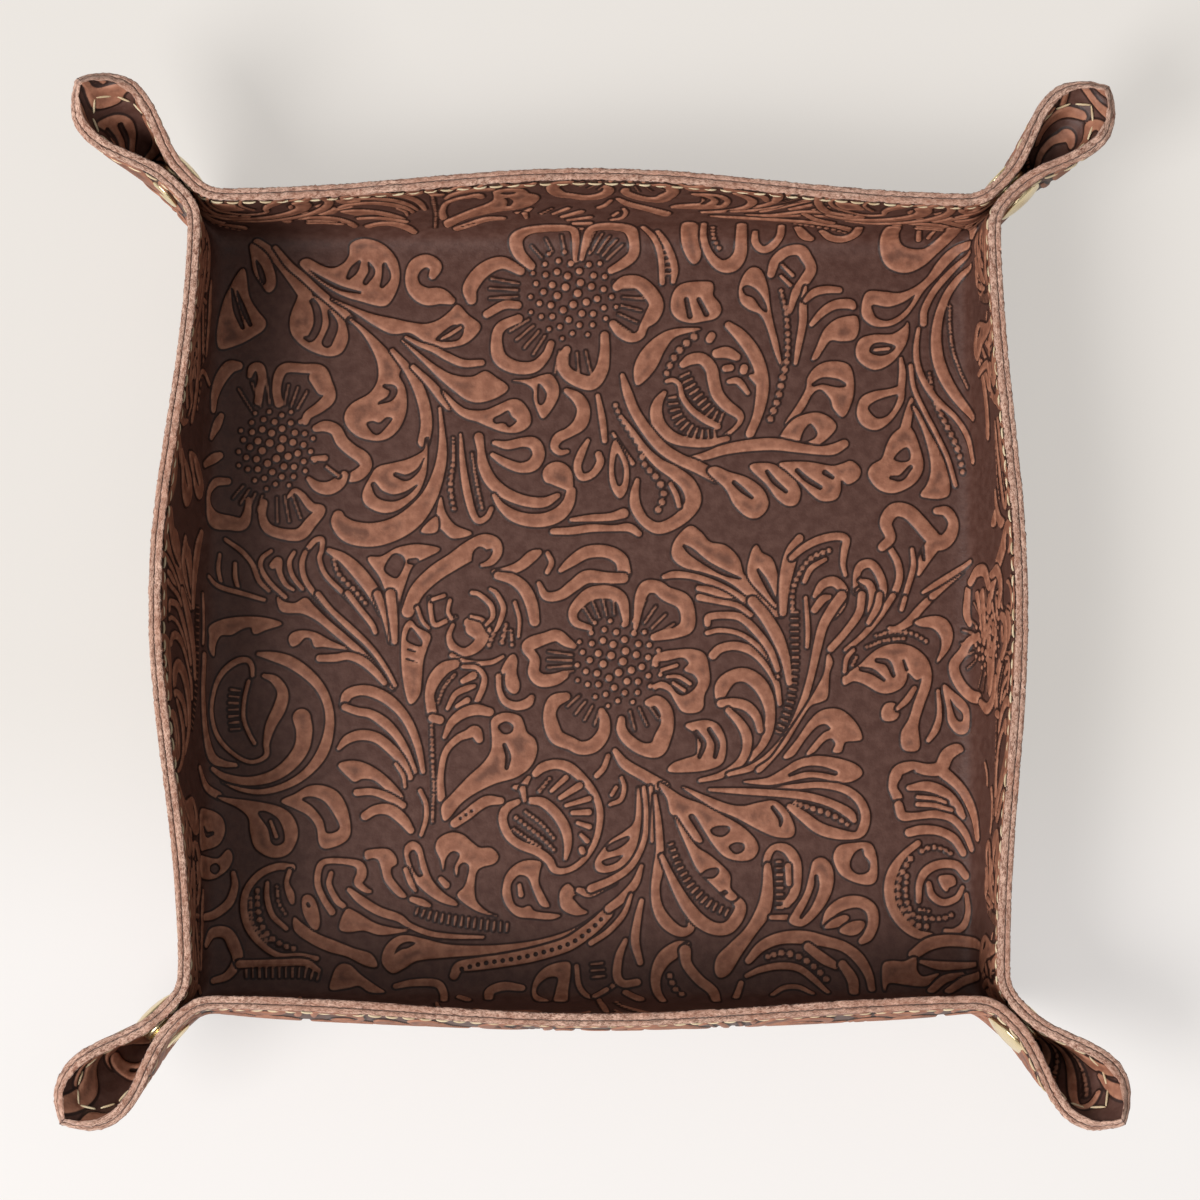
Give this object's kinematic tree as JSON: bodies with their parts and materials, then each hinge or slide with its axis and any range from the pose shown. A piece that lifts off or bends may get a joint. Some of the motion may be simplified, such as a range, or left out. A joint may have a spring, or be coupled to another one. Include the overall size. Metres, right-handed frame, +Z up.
{
  "type": "valet tray",
  "caption": "Square double-leather valet tray with embossed floral tooling, folded walls and corner ears pinched by brass snaps, which opens flat.",
  "frame": {"origin": "on the standing surface under the middle of the base", "axes": "+Z up, +Y towards the north wall, +X towards the east wall"},
  "size_m": [0.2664, 0.2664, 0.044],
  "materials": {
    "lining_leather": "embossed, two-tone brown, satin",
    "cover_leather": "embossed, two-tone brown, satin",
    "thread": "waxed cream thread",
    "snap_brass": "polished pale brass"
  },
  "bodies": {
    "base": {"outer_base": "cover_leather", "inner_base": "lining_leather", "base_fold_lining": "lining_leather", "base_fold_cover": "cover_leather"},
    "north_wall": {"north_wall_lining": "lining_leather", "north_wall_cover": "cover_leather", "north_wall_stitching": "thread"},
    "north_west_cap_ear": {"north_west_cap_ear_lining": "lining_leather", "north_west_cap_ear_cover": "cover_leather", "north_west_cap_ear_stitching": "thread", "north_west_ear_crease": "cover_leather", "north_west_snap_cap": "snap_brass", "north_west_snap_socket": "snap_brass"},
    "north_east_stud_ear": {"north_east_stud_ear_lining": "lining_leather", "north_east_stud_ear_cover": "cover_leather", "north_east_stud_ear_stitching": "thread", "north_east_snap_stud": "snap_brass", "north_east_snap_post": "snap_brass"},
    "east_wall": {"east_wall_lining": "lining_leather", "east_wall_cover": "cover_leather", "east_wall_stitching": "thread"},
    "north_east_cap_ear": {"north_east_cap_ear_lining": "lining_leather", "north_east_cap_ear_cover": "cover_leather", "north_east_cap_ear_stitching": "thread", "north_east_ear_crease": "cover_leather", "north_east_snap_cap": "snap_brass", "north_east_snap_socket": "snap_brass"},
    "south_east_stud_ear": {"south_east_stud_ear_lining": "lining_leather", "south_east_stud_ear_cover": "cover_leather", "south_east_stud_ear_stitching": "thread", "south_east_snap_stud": "snap_brass", "south_east_snap_post": "snap_brass"},
    "south_wall": {"south_wall_lining": "lining_leather", "south_wall_cover": "cover_leather", "south_wall_stitching": "thread"},
    "south_east_cap_ear": {"south_east_cap_ear_lining": "lining_leather", "south_east_cap_ear_cover": "cover_leather", "south_east_cap_ear_stitching": "thread", "south_east_ear_crease": "cover_leather", "south_east_snap_cap": "snap_brass", "south_east_snap_socket": "snap_brass"},
    "south_west_stud_ear": {"south_west_stud_ear_lining": "lining_leather", "south_west_stud_ear_cover": "cover_leather", "south_west_stud_ear_stitching": "thread", "south_west_snap_stud": "snap_brass", "south_west_snap_post": "snap_brass"},
    "west_wall": {"west_wall_lining": "lining_leather", "west_wall_cover": "cover_leather", "west_wall_stitching": "thread"},
    "south_west_cap_ear": {"south_west_cap_ear_lining": "lining_leather", "south_west_cap_ear_cover": "cover_leather", "south_west_cap_ear_stitching": "thread", "south_west_ear_crease": "cover_leather", "south_west_snap_cap": "snap_brass", "south_west_snap_socket": "snap_brass"},
    "north_west_stud_ear": {"north_west_stud_ear_lining": "lining_leather", "north_west_stud_ear_cover": "cover_leather", "north_west_stud_ear_stitching": "thread", "north_west_snap_stud": "snap_brass", "north_west_snap_post": "snap_brass"}
  },
  "joints": [
    {"name": "north_wall_fold", "type": "hinge", "parent": "base", "child": "north_wall", "pos_m": [0, 0.1005, 0.0035], "axis": [-1, 0, 0], "range_deg": [0, 65], "deforming": ["base_fold_lining", "base_fold_cover"]},
    {"name": "north_west_cap_ear_bend", "type": "hinge", "parent": "north_wall", "child": "north_west_cap_ear", "pos_m": [-0.1005, 0.1005, 0], "axis": [0, 0, 1], "range_deg": [0, 32.5], "deforming": ["north_west_ear_crease"]},
    {"name": "north_east_stud_ear_bend", "type": "hinge", "parent": "north_wall", "child": "north_east_stud_ear", "pos_m": [0.1005, 0.1005, 0], "axis": [0, 0, -1], "range_deg": [0, 32.5], "deforming": ["north_east_ear_crease"]},
    {"name": "east_wall_fold", "type": "hinge", "parent": "base", "child": "east_wall", "pos_m": [0.1005, 0, 0.0035], "axis": [0, 1, 0], "range_deg": [0, 65], "deforming": ["base_fold_lining", "base_fold_cover"]},
    {"name": "north_east_cap_ear_bend", "type": "hinge", "parent": "east_wall", "child": "north_east_cap_ear", "pos_m": [0.1005, 0.1005, 0], "axis": [0, 0, 1], "range_deg": [0, 32.5], "deforming": ["north_east_ear_crease"]},
    {"name": "south_east_stud_ear_bend", "type": "hinge", "parent": "east_wall", "child": "south_east_stud_ear", "pos_m": [0.1005, -0.1005, 0], "axis": [0, 0, -1], "range_deg": [0, 32.5], "deforming": ["south_east_ear_crease"]},
    {"name": "south_wall_fold", "type": "hinge", "parent": "base", "child": "south_wall", "pos_m": [0, -0.1005, 0.0035], "axis": [1, 0, 0], "range_deg": [0, 65], "deforming": ["base_fold_lining", "base_fold_cover"]},
    {"name": "south_east_cap_ear_bend", "type": "hinge", "parent": "south_wall", "child": "south_east_cap_ear", "pos_m": [0.1005, -0.1005, 0], "axis": [0, 0, 1], "range_deg": [0, 32.5], "deforming": ["south_east_ear_crease"]},
    {"name": "south_west_stud_ear_bend", "type": "hinge", "parent": "south_wall", "child": "south_west_stud_ear", "pos_m": [-0.1005, -0.1005, 0], "axis": [0, 0, -1], "range_deg": [0, 32.5], "deforming": ["south_west_ear_crease"]},
    {"name": "west_wall_fold", "type": "hinge", "parent": "base", "child": "west_wall", "pos_m": [-0.1005, 0, 0.0035], "axis": [0, -1, 0], "range_deg": [0, 65], "deforming": ["base_fold_lining", "base_fold_cover"]},
    {"name": "south_west_cap_ear_bend", "type": "hinge", "parent": "west_wall", "child": "south_west_cap_ear", "pos_m": [-0.1005, -0.1005, 0], "axis": [0, 0, 1], "range_deg": [0, 32.5], "deforming": ["south_west_ear_crease"]},
    {"name": "north_west_stud_ear_bend", "type": "hinge", "parent": "west_wall", "child": "north_west_stud_ear", "pos_m": [-0.1005, 0.1005, 0], "axis": [0, 0, -1], "range_deg": [0, 32.5], "deforming": ["north_west_ear_crease"]}
  ],
  "couplings": [
    {"joint": "north_west_cap_ear_bend", "follows": "north_wall_fold", "ratio": 0.5},
    {"joint": "north_east_stud_ear_bend", "follows": "north_wall_fold", "ratio": 0.5},
    {"joint": "east_wall_fold", "follows": "north_wall_fold", "ratio": 1},
    {"joint": "north_east_cap_ear_bend", "follows": "north_wall_fold", "ratio": 0.5},
    {"joint": "south_east_stud_ear_bend", "follows": "north_wall_fold", "ratio": 0.5},
    {"joint": "south_wall_fold", "follows": "north_wall_fold", "ratio": 1},
    {"joint": "south_east_cap_ear_bend", "follows": "north_wall_fold", "ratio": 0.5},
    {"joint": "south_west_stud_ear_bend", "follows": "north_wall_fold", "ratio": 0.5},
    {"joint": "west_wall_fold", "follows": "north_wall_fold", "ratio": 1},
    {"joint": "south_west_cap_ear_bend", "follows": "north_wall_fold", "ratio": 0.5},
    {"joint": "north_west_stud_ear_bend", "follows": "north_wall_fold", "ratio": 0.5}
  ]
}
